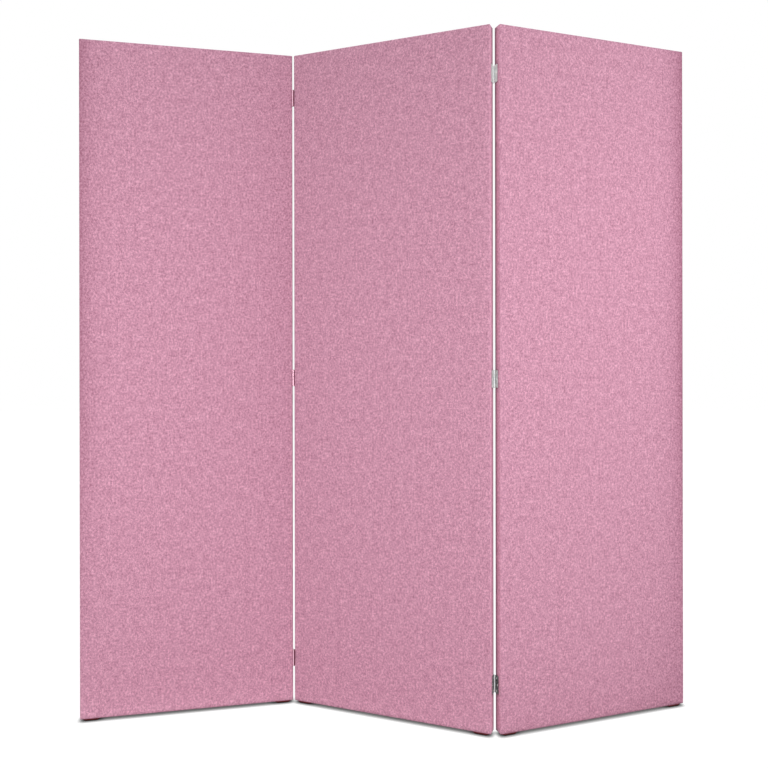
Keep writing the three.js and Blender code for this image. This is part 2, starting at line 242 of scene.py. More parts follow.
def piece(name, points, faces, uvs=None):
    """A smooth mesh object at the origin. uvs holds, for each named map, one (u, v) for each
    corner of each face, in order."""
    mesh = bpy.data.meshes.new(name)
    if isinstance(faces, np.ndarray):
        faces = faces.tolist()
    mesh.from_pydata(np.asarray(points, float).reshape(-1, 3).tolist(), [], faces)
    for map_name, values in (uvs or {}).items():
        layer = mesh.uv_layers.new(name=map_name)
        layer.data.foreach_set("uv", np.asarray(values, float).ravel())
    mesh.polygons.foreach_set("use_smooth", np.ones(len(mesh.polygons), bool))
    mesh.update()
    return in_scene(name, mesh)


def grid_faces(rows, columns, closed=False):
    """The quads of a grid of points that runs row by row. A closed grid joins its last column
    to its first."""
    start = np.arange(rows - 1)[:, None] * columns
    above = start + columns
    column = np.arange(columns if closed else columns - 1)
    after = (column + 1) % columns
    corners = (start + column, start + after, above + after, above + column)
    return np.stack(corners, -1).reshape(-1, 4)


def capped_faces(rings, count, inside_out=False):
    """The faces of a body whose rings of points follow one another: quads from ring to ring,
    and one face with many sides at each end."""
    faces = grid_faces(rings, count, closed=True).tolist()
    last = (rings - 1) * count
    faces.append(list(range(count))[::-1])
    faces.append([last + i for i in range(count)])
    return [face[::-1] for face in faces] if inside_out else faces


def all_round(count):
    """Angles spread evenly over a full turn."""
    return np.linspace(0, 2 * math.pi, count, endpoint=False)


def on_circle(radius, angles, middle=(0.0, 0.0)):
    """Places on a circle: its middle, plus the radius times the angles' cosine and sine."""
    return np.stack([
        middle[0] + radius * np.cos(angles),
        middle[1] + radius * np.sin(angles),
    ], -1)


def at_height(outline, height):
    """An outline's points, all at one height."""
    return np.column_stack([outline, np.full(len(outline), height)])


def joined(parts):
    """Several (points, faces) pairs as one pair."""
    points, faces, count = [], [], 0
    for some_points, some_faces in parts:
        some_points = np.asarray(some_points, float).reshape(-1, 3)
        points.append(some_points)
        faces.extend((np.asarray(f) + count).tolist() for f in some_faces)
        count += len(some_points)
    return np.concatenate(points), faces


def smoothstep(value):
    """0 below 0, 1 above 1, and an S-shaped rise between: 3 t squared less 2 t cubed."""
    t = np.clip(value, 0, 1)
    return t * t * (3 - 2 * t)


def placed(points, matrix):
    """Points carried from a piece's own frame into the part's: turned, then moved."""
    points = np.asarray(points, float).reshape(-1, 3)
    turn = np.array(matrix.to_3x3())
    return points @ turn.T + np.array(matrix.translation)


# Places of the panels and of the leaves on them

def leaf_place(side, face, height):
    """The frame of a leaf in its panel, on the hinge's axis: X into the panel, Y away from the
    hinge's face, and Z along the edge, downwards where a half turn about X or Y brings it there.
    side is -1 on the left edge and 1 on the right, face -1 front and 1 back."""
    half_turns = {(1, 1): "Z", (1, -1): "Y", (-1, 1): "X"}
    turn = Matrix.Identity(4)
    if (side, face) in half_turns:
        turn = Matrix.Rotation(math.pi, 4, half_turns[side, face])
    x = side * (PANEL_WIDTH + PANEL_SPACING) / 2
    y = face * (PANEL_THICKNESS / 2 + AXIS_STANDOFF)
    return Matrix.Translation((x, y, height)) @ turn


def panel_place(degrees, side, face, axis):
    """The frame of a panel that is turned by degrees and has a hinge's axis at its edge."""
    turn = Matrix.Rotation(math.radians(degrees), 4, "Z")
    local = leaf_place(side, face, 0).translation
    origin = Vector((axis[0], axis[1], PANEL_BASE)) - turn.to_3x3() @ local
    return Matrix.Translation(origin) @ turn


AXES = {joint["name"]: joint["pos_m"] for joint in frame["joints"]}
PANELS = {
    "left_panel": panel_place(CENTRE_TURN + LEFT_FOLD, 1, -1, AXES["left_fold"]),
    "centre_panel": panel_place(CENTRE_TURN, -1, -1, AXES["left_fold"]),
    "right_panel": panel_place(CENTRE_TURN + RIGHT_FOLD, -1, 1, AXES["right_fold"]),
}
PANEL_HINGES = {
    "left_panel": ((1, -1),),
    "centre_panel": ((-1, -1), (1, 1)),
    "right_panel": ((-1, 1),),
}
PANEL_SEEDS = {"left_panel": 11, "centre_panel": 23, "right_panel": 37}


# Cloth cover

def swell(x, z, seed):
    """How far the cloth stands up over its wadding: a sum of plane waves, each with a length,
    a direction and a phase drawn from the seed, divided by the root of their number, which
    keeps the sum mostly between -1 and 1."""
    draw = np.random.default_rng(seed)
    lengths = draw.uniform(*SWELL_LENGTHS, SWELL_WAVES)
    turns = draw.uniform(0, math.pi, SWELL_WAVES)
    phases = draw.uniform(0, 2 * math.pi, SWELL_WAVES)
    total = np.zeros(np.broadcast(x, z).shape)
    for length, turn, phase in zip(lengths, turns, phases):
        along = x * math.cos(turn) + z * math.sin(turn)
        total += np.sin(2 * math.pi * along / length + phase)
    return total / math.sqrt(SWELL_WAVES)


def settled_sheet(seed):
    """How far a face's cloth is pushed out at the points of a grid over the panel. A sheet that
    is held along its edges, and starts with the swell of its wadding, is blown up by an even
    pressure in a cloth simulation without gravity."""
    rows, columns = SHEET_GRID
    x, z = np.meshgrid(
        np.linspace(-PANEL_WIDTH / 2, PANEL_WIDTH / 2, columns),
        np.linspace(0, PANEL_HEIGHT, rows),
    )
    to_edge = np.minimum(PANEL_WIDTH / 2 - np.abs(x), np.minimum(z, PANEL_HEIGHT - z))
    start = CLOTH_SWELL * swell(x, z, seed) * smoothstep(to_edge / SWELL_EASE)
    points = np.stack([x, -start, z], -1)
    sheet = piece("settling_sheet", points, grid_faces(rows, columns))
    held = sheet.vertex_groups.new(name="held")
    held.add(np.flatnonzero(to_edge.ravel() < MM).tolist(), 1.0, "REPLACE")
    cloth = sheet.modifiers.new("cloth", "CLOTH").settings
    cloth.vertex_group_mass = "held"
    cloth.effector_weights.gravity = 0
    for setting, value in SHEET_SETTINGS.items():
        setattr(cloth, setting, value)
    for step in range(1, SETTLING_FRAMES + 1):
        bpy.context.scene.frame_set(step)
    shaped = sheet.evaluated_get(bpy.context.evaluated_depsgraph_get()).to_mesh()
    places = np.empty(3 * len(shaped.vertices))
    shaped.vertices.foreach_get("co", places)
    mesh = sheet.data
    bpy.data.objects.remove(sheet)
    bpy.data.meshes.remove(mesh)
    bpy.context.scene.frame_set(1)
    return np.abs(places.reshape(rows, columns, 3)[..., 1])


def between_points(travel, x, z):
    """A grid's value at any place on the panel, straight between its four nearest points."""
    rows, columns = travel.shape
    across = np.clip((x / PANEL_WIDTH + 0.5) * (columns - 1), 0, columns - 1.001)
    up = np.clip(z / PANEL_HEIGHT * (rows - 1), 0, rows - 1.001)
    i, j = across.astype(int), up.astype(int)
    s, t = across - i, up - j
    low = travel[j, i] * (1 - s) + travel[j, i + 1] * s
    high = travel[j + 1, i] * (1 - s) + travel[j + 1, i + 1] * s
    return low * (1 - t) + high * t


def face_depth(x, z, travel, seed):
    """The cloth's distance from the panel's middle plane. The sheet's travel is held back more
    and more by the cloth's own pull, so that it ends at the loft: loft times one less the
    exponential of minus travel over loft. At the edges the cloth is pulled tight and squeezes
    the wadding, by an exponential of the distance, and the wadding swells in soft waves."""
    to_side = np.clip(PANEL_WIDTH / 2 - np.abs(x), 0, None)
    to_end = np.clip(np.minimum(z, PANEL_HEIGHT - z), 0, None)
    open_share = (1 - np.exp(-to_side / SQUEEZE_REACH)) * (1 - np.exp(-to_end / SQUEEZE_REACH))
    share = 1 - np.exp(-between_points(travel, x, z) / CLOTH_LOFT)
    waves = swell(x, z, seed) * share * open_share
    top = PANEL_THICKNESS / 2 + CLOTH_PROUD
    held_back = CLOTH_LOFT * (1 - share) + EDGE_SQUEEZE * (1 - open_share)
    return top - held_back + CLOTH_SWELL * waves


def leaf_press(side, y, z, hinges):
    """How deep the leaves press into the panel's edge: the full depth under a leaf, easing to
    nothing over the reach round it."""
    press = np.zeros(np.broadcast(y, z).shape)
    for hinge_side, face in hinges:
        if hinge_side != side:
            continue
        near = PANEL_THICKNESS / 2 + AXIS_STANDOFF - PLATE_START
        far = PANEL_THICKNESS / 2 + AXIS_STANDOFF - LEAF_REACH
        middle, half = face * (near + far) / 2, (near - far) / 2
        for height in HINGE_HEIGHTS.values():
            out_y = np.clip(np.abs(y - middle) - half, 0, None)
            out_z = np.clip(np.abs(z - height) - HINGE_HEIGHT / 2, 0, None)
            press = np.maximum(press, smoothstep(1 - np.hypot(out_y, out_z) / PRESS_REACH))
    return LEAF_PRESS * press


def edge_lines(half, steps=5):
    """Places along one side of a box, up to its corner, that give equal angles on the round
    edge: the tangent of the angle times the radius, past the start of the edge."""
    angles = np.linspace(0, math.pi / 4, steps + 1)
    return half - EDGE_RADIUS + EDGE_RADIUS * np.tan(angles)


def arc_length(place, half):
    """The cloth's own measure along a side whose corner is rounded."""
    over = np.clip(np.abs(place) - (half - EDGE_RADIUS), 0, None)
    flat = np.minimum(np.abs(place), half - EDGE_RADIUS)
    return np.sign(place) * (flat + EDGE_RADIUS * np.arctan(over / EDGE_RADIUS))


def symmetric(half_line):
    """The places on a half line and their mirror images, in order and each only once."""
    half_line = np.asarray(half_line)
    return np.unique(np.round(np.concatenate([-half_line, half_line]), 7))


def width_lines():
    """Lines across the panel's width: close together near its edges, 12 mm apart inside."""
    shoulder = PANEL_WIDTH / 2 - SHOULDER_LINES
    inner = np.linspace(0, HEM_END, 17)
    return symmetric(np.concatenate([inner, shoulder, edge_lines(PANEL_WIDTH / 2)]))


def thickness_lines():
    """Lines through the panel's thickness: its middle, its quarters, the ends of the hems and
    the round edges."""
    inner = np.array([0, PANEL_THICKNESS / 4, PANEL_THICKNESS / 2 - HEM_WIDTH])
    return symmetric(np.concatenate([inner, edge_lines(PANEL_THICKNESS / 2)]))


def height_lines():
    """Lines up the panel, about its middle: close together at its ends and beside the hinges."""
    half = PANEL_HEIGHT / 2
    shoulder = half - SHOULDER_LINES
    inner = np.linspace(0, half - MIDDLE_LINES_END, 62)
    lines = [inner, shoulder, edge_lines(half)]
    for height in HINGE_HEIGHTS.values():
        reach = HINGE_HEIGHT / 2 + PRESS_REACH
        near = abs(height - half) + np.linspace(-reach, reach, 17)
        lines.append(near[near >= 0])
    every = symmetric(np.concatenate(lines))
    wide_enough = np.concatenate([[True], np.diff(every) > LEAST_LINE_GAP])
    return every[wide_enough]


def cloth_patches():
    """The six sides of the sharp box as grids of points, each with the cloth's own measure of
    its points, which runs once round the panel from its front face, and with its rows and
    columns in the order that turns its faces outwards."""
    lines = (width_lines(), thickness_lines(), height_lines())
    girth = PANEL_WIDTH + PANEL_THICKNESS
    starts = {(1, -1): 0, (0, 1): girth / 2, (1, 1): girth, (0, -1): 1.5 * girth}
    for across, up, out in ((0, 2, 1), (1, 2, 0), (0, 1, 2)):
        for sign in (-1, 1):
            first, second = np.meshgrid(lines[across], lines[up])
            points = np.zeros(first.shape + (3,))
            points[..., across] = first
            points[..., up] = second
            points[..., out] = sign * HALF_PANEL[out]
            way = -1 if (out, sign) in ((1, 1), (0, -1)) else 1
            u = way * arc_length(first, HALF_PANEL[across])
            u = u + starts.get((out, sign), 2 * girth)
            v = arc_length(second, HALF_PANEL[up]) + (sign * PANEL_HEIGHT if out == 2 else 0)
            outwards = sign if out != 1 else -sign
            yield points, np.stack([u, v], -1), outwards


def cloth_shape(points, hinges, travel, seed):
    """Moves points of the sharp box onto the cloth. First the edges are rounded: each point
    goes to one radius from the nearest point of the inner box. Then the depth is scaled to the
    cloth's depth there, and the leaves press the edges in."""
    inner = np.clip(points, EDGE_RADIUS - HALF_PANEL, HALF_PANEL - EDGE_RADIUS)
    out = points - inner
    shaped = inner + EDGE_RADIUS * out / np.linalg.norm(out, axis=-1, keepdims=True)
    x, y, z = shaped[..., 0], shaped[..., 1], shaped[..., 2] + PANEL_HEIGHT / 2
    depth = np.where(y < 0, face_depth(x, z, travel, seed), face_depth(x, z, travel, seed + 1))
    y = y * depth / (PANEL_THICKNESS / 2)
    for side in (-1, 1):
        on_edge = smoothstep((side * x - (PANEL_WIDTH / 2 - EDGE_RADIUS)) / EDGE_RADIUS)
        x = x - side * leaf_press(side, y, z, hinges) * on_edge
    return np.stack([x, y, z], -1)


def cloth_cover(name, hinges, travel, seed, matrix):
    """The cover of one panel: the six patches of cloth, with an opening between the hems on
    the underside. Its cloth map holds the cloth's own measure, which runs once round the panel
    and up it, and its panel map the place across the panel and through it."""
    parts, measures, places = [], [], []
    for points, uv, outwards in cloth_patches():
        shaped = cloth_shape(points, hinges, travel, seed)
        faces = grid_faces(*points.shape[:2])
        if outwards < 0:
            faces = faces[:, ::-1]
        x, y, z = points.reshape(-1, 3)[faces].mean(1).T
        hems = (np.abs(x) >= HEM_END) | (np.abs(y) >= PANEL_THICKNESS / 2 - HEM_WIDTH)
        faces = faces[hems | (z >= -PANEL_HEIGHT / 2 + MM)]
        parts.append((shaped, faces))
        measures.append(uv.reshape(-1, 2)[faces].reshape(-1, 2))
        places.append(points[..., :2].reshape(-1, 2)[faces].reshape(-1, 2))
    points, faces = joined(parts)
    uvs = {"cloth": np.concatenate(measures), "panel": np.concatenate(places)}
    cover = piece(name, placed(points, matrix), faces, uvs)
    weld(cover)
    skin = cover.modifiers.new("cloth thickness", "SOLIDIFY")
    skin.thickness = CLOTH_THICKNESS
    skin.offset = -1
    skin.use_even_offset = True
    return cover


def weld(made, distance=0.02 * MM):
    """Joins the points of neighbouring patches and drops the loose ones."""
    work = bmesh.new()
    work.from_mesh(made.data)
    bmesh.ops.delete(work, geom=[v for v in work.verts if not v.link_faces], context="VERTS")
    bmesh.ops.remove_doubles(work, verts=work.verts, dist=distance)
    work.to_mesh(made.data)
    work.free()


def wadding_sheet(name, face, travel, seed, matrix):
    """The wadding under one face: its outer side follows the cloth's depth, less the cloth and
    a little room, its inner side is flat against the frame, and its rim is rounded off."""
    half_width = PANEL_WIDTH / 2 - PAD_INSET
    half_height = PANEL_HEIGHT / 2 - PAD_INSET
    rim = np.array([0, 0.4, 1.2, 2.6, 5, 10]) * MM
    lines = []
    for half, count in ((half_width, 20), (half_height, 66)):
        inner = np.linspace(0, half - 20 * MM, count)
        lines.append(symmetric(np.concatenate([half - rim, inner])))
    x, z = np.meshgrid(*lines)
    to_rim = np.minimum(half_width - np.abs(x), half_height - np.abs(z))
    z = z + PANEL_HEIGHT / 2
    outer = face_depth(x, z, travel, seed) - CLOTH_THICKNESS - PAD_CLEARANCE
    middle = (outer + PAD_INNER_FACE) / 2
    short_of_round = 1 - np.clip(to_rim / PAD_RIM_RADIUS, 0, 1)
    fullness = np.sqrt(np.clip(1 - short_of_round ** 2, 0, 1))
    outer = middle + (outer - middle) * fullness
    inner = middle + (PAD_INNER_FACE - middle) * fullness
    outside = np.stack([x, face * outer, z], -1)
    inside = np.stack([x, face * inner, z], -1)
    faces = grid_faces(*x.shape)
    turned = faces[:, ::-1]
    pair = (faces, turned) if face < 0 else (turned, faces)
    points, faces = joined([(outside, pair[0]), (inside, pair[1])])
    pad = piece(name, placed(points, matrix), faces)
    weld(pad)
    return pad


# Butt hinges, drawn about the hinge's axis as leaf_place says

def plate_distance(y, z, inset=0.0):
    """Signed distance to the plate's outline, a rectangle with round far corners: negative
    inside."""
    half_y = (LEAF_REACH - PLATE_START) / 2 - inset
    half_z = HINGE_HEIGHT / 2 - inset
    middle = (LEAF_REACH + PLATE_START) / 2
    corner = np.where(y > middle, LEAF_CORNER, 0.1 * MM)
    over_y = np.abs(y - middle) - half_y + corner
    over_z = np.abs(z) - half_z + corner
    outside = np.hypot(np.clip(over_y, 0, None), np.clip(over_z, 0, None))
    return outside + np.minimum(np.maximum(over_y, over_z), 0) - corner


def reach_of_rays(y, z, angles, low, high):
    """How far rays from (y, z) run before they leave the plate or the band from low to high,
    by halving the interval 30 times."""
    near = np.zeros_like(angles)
    far = np.full_like(angles, 2 * HINGE_HEIGHT)
    for _ in range(30):
        middle = (near + far) / 2
        at_y = y + middle * np.cos(angles)
        at_z = z + middle * np.sin(angles)
        inside = (plate_distance(at_y, at_z, LEAF_BEVEL) < 0) & (at_z > low) & (at_z < high)
        near = np.where(inside, middle, near)
        far = np.where(inside, far, middle)
    return near


def at_depth(outline, depth):
    """An outline's points across and up the leaf, all at one depth."""
    return np.column_stack([np.full(len(outline), depth), outline])


def plate_face():
    """The plate's face: three bands, one round each screw. Each band is a grid of rays from
    the screw's middle: down the countersink, over its rim, and out to the band's limits."""
    band = SCREW_PLACES[2][1] / 2
    bands = ((-HINGE_HEIGHT, -band), (-band, band), (band, HINGE_HEIGHT))
    angles = all_round(SCREW_FACETS)
    rim = SCREW_HEAD_RADIUS + COUNTERSINK_EASE
    parts = []
    for (y, z), (low, high) in zip(SCREW_PLACES, bands):
        rings = (
            (SCREW_HOLE_RADIUS, COUNTERSINK_DEPTH),
            (rim, 0.08 * MM),
            (rim + COUNTERSINK_EASE, 0.0),
            (reach_of_rays(y, z, angles, low, high), 0.0),
        )
        points = [
            at_depth(on_circle(radius, angles, (y, z)), LEAF_INNER_FACE + depth)
            for radius, depth in rings
        ]
        faces = grid_faces(len(points), len(angles), closed=True)
        parts.append((np.concatenate(points), faces[:, ::-1]))
    return joined(parts)


def plate_outline(inset, steps=8):
    """The plate's outline as points, with round far corners."""
    far = LEAF_REACH - LEAF_CORNER
    top = HINGE_HEIGHT / 2 - LEAF_CORNER
    radius = LEAF_CORNER - inset
    turn = np.linspace(-math.pi / 2, 0, steps)
    lower = on_circle(radius, turn, (far, -top))
    upper = on_circle(radius, turn + math.pi / 2, (far, top))
    low, high = -HINGE_HEIGHT / 2 + inset, HINGE_HEIGHT / 2 - inset
    near = PLATE_START + inset
    return np.concatenate([[[near, low]], lower, upper, [[near, high]]])


def plate_rim():
    """The plate's edge: up from the back, over a small bevel to the face, and the back itself."""
    rings = (
        (0, LEAF_OUTER_FACE),
        (0, LEAF_INNER_FACE + LEAF_BEVEL),
        (LEAF_BEVEL, LEAF_INNER_FACE),
    )
    points = [at_depth(plate_outline(inset), depth) for inset, depth in rings]
    count = len(points[0])
    faces = grid_faces(len(rings), count, closed=True).tolist()
    faces.append(list(range(count))[::-1])
    return np.concatenate(points), [f[::-1] for f in faces]


def knuckle(number):
    """One rolled knuckle: the section, a strip that leaves the plate, goes round the bore and
    stops short of the plate, is carried up through its length, with its ends eased."""
    outer_start = math.acos(LEAF_OUTER_FACE / BARREL_RADIUS)
    inner_end = math.acos(LEAF_INNER_FACE / BORE_RADIUS)
    curl_end = math.acos((LEAF_INNER_FACE - CURL_GAP) / BORE_RADIUS) - 2 * math.pi
    pitch = HINGE_HEIGHT / KNUCKLE_COUNT
    low = -HINGE_HEIGHT / 2 + number * pitch + KNUCKLE_GAP / 2
    high = low + pitch - KNUCKLE_GAP
    ease = KNUCKLE_EASE
    steps = 40

    def section(inset):
        round_barrel = np.linspace(outer_start, curl_end, steps)
        round_bore = np.linspace(curl_end, inner_end, steps)
        return np.concatenate([
            [[LEAF_OUTER_FACE - inset, PLATE_START]],
            on_circle(BARREL_RADIUS - inset, round_barrel),
            on_circle(BORE_RADIUS + inset, round_bore),
            [[LEAF_INNER_FACE + inset, PLATE_START]],
        ])

    rings = ((ease, low), (0, low + ease), (0, high - ease), (ease, high))
    points = [at_height(section(inset), height) for inset, height in rings]
    count = len(points[0])
    faces = grid_faces(len(rings), count, closed=True).tolist()
    strip = [[i, i + 1, count - 2 - i, count - 1 - i] for i in range(count // 2 - 1)]
    top = (len(rings) - 1) * count
    faces += strip
    faces += [[top + i for i in quad[::-1]] for quad in strip]
    return np.concatenate(points), [f[::-1] for f in faces]


def hinge_leaf(name, numbers, matrix):
    """One leaf: the plate's face and edge, and the rolled knuckles with these numbers."""
    parts = [plate_face(), plate_rim()] + [knuckle(number) for number in numbers]
    points, faces = joined(parts)
    leaf = piece(name, placed(points, matrix), faces)
    weld(leaf, 0.002 * MM)
    shade_by_angle(leaf, 35)
    return leaf


def hinge_screws(name, matrix):
    """The three heads of a leaf: flat discs of rings, sunk below the leaf's face and eased at
    the rim, each turned its own way. A cross is cut where a point lies near either of its arms,
    and gets shallower outwards. Behind the head, a ring as narrow as the shank closes it."""
    angles = all_round(SCREW_FACETS)
    shares = np.concatenate([np.linspace(0.02, 0.72, 11), [0.8, 0.9, 0.97, 1.0]])
    share, angle = np.meshgrid(shares, angles, indexing="ij")
    a = SCREW_HEAD_RADIUS * share * np.cos(angle)
    b = SCREW_HEAD_RADIUS * share * np.sin(angle)
    arm = np.minimum(np.abs(a), np.abs(b))
    reach = np.maximum(np.abs(a), np.abs(b))
    cross = smoothstep((CROSS_ARM - arm) / CROSS_ARM_EASE)
    cross = cross * smoothstep((CROSS_REACH - reach) / CROSS_REACH_EASE)
    rim = smoothstep((share - 0.94) / 0.06)
    cut = CROSS_DEPTH * cross * (1 - reach / CROSS_TAPER) + 0.1 * MM * rim
    parts = []
    for (y, z), turn in zip(SCREW_PLACES, SCREW_TURNS):
        at_y = y + a * math.cos(turn) - b * math.sin(turn)
        at_z = z + a * math.sin(turn) + b * math.cos(turn)
        points = np.stack([LEAF_INNER_FACE + SCREW_HEAD_SINK + cut, at_y, at_z], -1)
        shank = on_circle(SCREW_SHANK_RADIUS, angles + turn, (y, z))
        shank = at_depth(shank, LEAF_OUTER_FACE + 0.1 * MM)
        points = np.concatenate([points, shank[None]])
        parts.append((points, capped_faces(len(points), SCREW_FACETS, inside_out=True)))
    points, faces = joined(parts)
    return piece(name, placed(points, matrix), faces)


def turned(profile, facets=32):
    """A body of revolution about Z: the profile's (radius, height) points carried round."""
    angles = all_round(facets)
    rings = [at_height(on_circle(radius, angles), height) for radius, height in profile]
    return np.concatenate(rings), capped_faces(len(rings), facets)


def hinge_pin(name, matrix):
    """The pin, with a domed head at each end: an ellipse of the head's radius and height."""
    shoulder = (HINGE_HEIGHT + KNUCKLE_GAP) / 2
    dome = [
        (PIN_HEAD_RADIUS * math.cos(turn), shoulder + PIN_HEAD_HEIGHT * math.sin(turn))
        for turn in np.linspace(0.05, math.pi / 2, 6)
    ]
    under = [(PIN_RADIUS, shoulder), (PIN_HEAD_RADIUS - PIN_HEAD_EASE, shoulder)]
    upper = under + dome[:-1] + [(PIN_HEAD_EASE, dome[-1][1])]
    lower = [(radius, -height) for radius, height in upper[::-1]]
    points, faces = turned(lower + upper)
    pin = piece(name, placed(points, matrix), faces)
    shade_by_angle(pin, 40)
    return pin


# Glides

def round_rectangle(half_length, half_width, corner, count):
    """Points of a rectangle with round corners. Each corner is a quarter circle and holds a
    quarter of the points, evenly by angle."""
    quarter = np.linspace(0, math.pi / 2, count // 4)
    rows = []
    for index, (sx, sy) in enumerate(((1, 1), (-1, 1), (-1, -1), (1, -1))):
        middle = (sx * (half_length - corner), sy * (half_width - corner))
        rows.append(on_circle(corner, quarter + index * math.pi / 2, middle))
    return np.concatenate(rows)


def glide(name, side, matrix):
    """A low foot: rings of a round-cornered rectangle. From the top they run down the wall, in
    along the sloped ends, over an eased lower edge, across the underside, and up the recess of
    the screw, whose rings are circles."""
    floor = -PANEL_BASE
    half_length, half_width = GLIDE_LENGTH / 2, GLIDE_WIDTH / 2
    rings = []
    for height, shrink in ((0.0, 0.6 * MM), (0.0, 0.25 * MM), (-0.25 * MM, 0.0)):
        rings.append((height + floor + GLIDE_HEIGHT, half_length - shrink, half_width - shrink))
    slope_top = floor + GLIDE_SLOPE_HEIGHT
    rings.append((slope_top, half_length, half_width))
    for share in (0.25, 0.5, 0.8):
        length = half_length - GLIDE_SLOPE_LENGTH * share
        rings.append((slope_top - GLIDE_SLOPE_HEIGHT * share, length, half_width))
    for angle in np.linspace(0.3, math.pi / 2, 5):
        inset = GLIDE_EASE * (1 - math.cos(angle))
        length = half_length - GLIDE_SLOPE_LENGTH * 0.85 - inset - 0.35 * MM
        rings.append((floor + GLIDE_EASE * (1 - math.sin(angle)), length, half_width - inset))
    points = []
    for height, length, width in rings:
        outline = round_rectangle(length, width, GLIDE_CORNER, GLIDE_FACETS)
        points.append(at_height(outline, height))
    angles = np.unwrap(np.arctan2(points[-1][:, 1], points[-1][:, 0]))
    for radius, height in (
        (GLIDE_RECESS_RADIUS + GLIDE_LIP, floor),
        (GLIDE_RECESS_RADIUS, floor + GLIDE_LIP),
        (GLIDE_RECESS_RADIUS, floor + GLIDE_RECESS_DEPTH),
        (0.5 * GLIDE_RECESS_RADIUS, floor + GLIDE_RECESS_DEPTH),
    ):
        points.append(at_height(on_circle(radius, angles), height))
    faces = capped_faces(len(points), GLIDE_FACETS, inside_out=True)
    points = np.concatenate(points) + np.array([side * GLIDE_FROM_MIDDLE, 0, 0])
    foot = piece(name, placed(points, matrix), faces)
    shade_by_angle(foot, 40)
    return foot


def shade_by_angle(made, degrees):
    """Keeps edges sharp where two faces meet at more than the angle."""
    made.data.set_sharp_from_angle(angle=math.radians(degrees))


# Shader values

class Value:
    """A number, colour or vector in a material's nodes. Arithmetic on numbers adds Math nodes."""

    def __init__(self, tree, socket=None):
        self.tree = tree
        self.socket = socket

    def node(self, kind, inputs=None, output=0, stops=None, **settings):
        """Adds a node, gives it its settings and then its inputs, and returns an output."""
        made = self.tree.nodes.new(kind)
        for setting, value in settings.items():
            setattr(made, setting, value)
        if stops:
            ramp = made.color_ramp
            while len(ramp.elements) < len(stops):
                ramp.elements.new(0.5)
            for element, (place, colour) in zip(ramp.elements, stops):
                element.position = place
                element.color = colour
        for key, value in (inputs or {}).items():
            if isinstance(value, Value):
                self.tree.links.new(value.socket, made.inputs[key])
            else:
                made.inputs[key].default_value = value
        return Value(self.tree, made.outputs[output])

    def math(self, operation, first, second=0.0):
        """One sum, product or other Math node."""
        return self.node("ShaderNodeMath", {0: first, 1: second}, operation=operation)

    def __add__(self, other):
        return self.math("ADD", self, other)

    def __radd__(self, other):
        return self.math("ADD", other, self)

    def __sub__(self, other):
        return self.math("SUBTRACT", self, other)

    def __rsub__(self, other):
        return self.math("SUBTRACT", other, self)

    def __mul__(self, other):
        return self.math("MULTIPLY", self, other)

    def clamp(self):
        """Held between 0 and 1."""
        return self.node("ShaderNodeClamp", {"Value": self})

    def between(self, low, high):
        """0 at low, 1 at high, straight between, and held beyond."""
        return self.node("ShaderNodeMapRange", {"Value": self, "From Min": low, "From Max": high})

    def fading(self, distance, reach):
        """1 at no distance, and a share of 1/e left for each reach."""
        return self.math("EXPONENT", self.math("MAXIMUM", distance, 0.0) * (-1 / reach))

    def noise(self, vector, detail=2.0, rough=0.5, dimensions="2D"):
        """Cloudy noise, about 0.5 on the average, with a cell for each unit of the vector."""
        inputs = {"Vector": vector, "Scale": 1.0, "Detail": detail, "Roughness": rough}
        return self.node("ShaderNodeTexNoise", inputs, noise_dimensions=dimensions)

    def grain(self, scale, detail=2.0, rough=0.5):
        """Noise in space on the piece's own coordinates, with a scale for each axis."""
        place = self.stretched(self.object_place(), scale)
        return self.noise(place, detail, rough, dimensions="3D")

    def stretched(self, vector, scale, shift=(0, 0, 0)):
        """The vector times a scale for each axis, plus a shift."""
        return self.node(
            "ShaderNodeVectorMath", {0: vector, 1: scale, 2: shift}, operation="MULTIPLY_ADD"
        )

    def blend(self, factor, first, second):
        """One colour turning into another. Sockets 6 and 7 and output 2 of a Mix node are its
        colours."""
        inputs = {0: factor, 6: first, 7: second}
        return self.node("ShaderNodeMix", inputs, output=2, data_type="RGBA")

    def bump(self, height, strength, distance):
        """A normal that follows a height, which goes over the distance."""
        inputs = {"Height": height, "Strength": strength, "Distance": distance}
        return self.node("ShaderNodeBump", inputs)

    def object_place(self):
        """The place on the piece, in metres."""
        return self.node("ShaderNodeTexCoord", output="Object")

    def mapped_place(self, name):
        """The place that one of the piece's maps gives."""
        return self.node("ShaderNodeUVMap", uv_map=name)

    def split(self, vector, axis):
        """One part of a vector, by its letter."""
        return self.node("ShaderNodeSeparateXYZ", {0: vector}, output=axis)


def linear(red, green, blue):
    """A colour that is written as a screen shows it, from 0 to 255, as light, and opaque."""
    shares = np.array([red, green, blue]) / 255
    low = shares / 12.92
    high = ((shares + 0.055) / 1.055) ** 2.4
    return (*np.where(shares <= 0.04045, low, high), 1.0)


def finish_material(name, paint, **fixed):
    """A material: fixed holds the shader's constant sockets by name with _ for a space, and
    paint, given a Value, returns what varies over the surface, by socket name."""
    made = bpy.data.materials.new(name)
    made.use_nodes = True
    tree = made.node_tree
    shader = tree.nodes["Principled BSDF"]
    for key, value in fixed.items():
        shader.inputs[key.replace("_", " ")].default_value = value
    for key, value in paint(Value(tree)).items():
        tree.links.new(value.socket, shader.inputs[key])
    return made


# Finishes

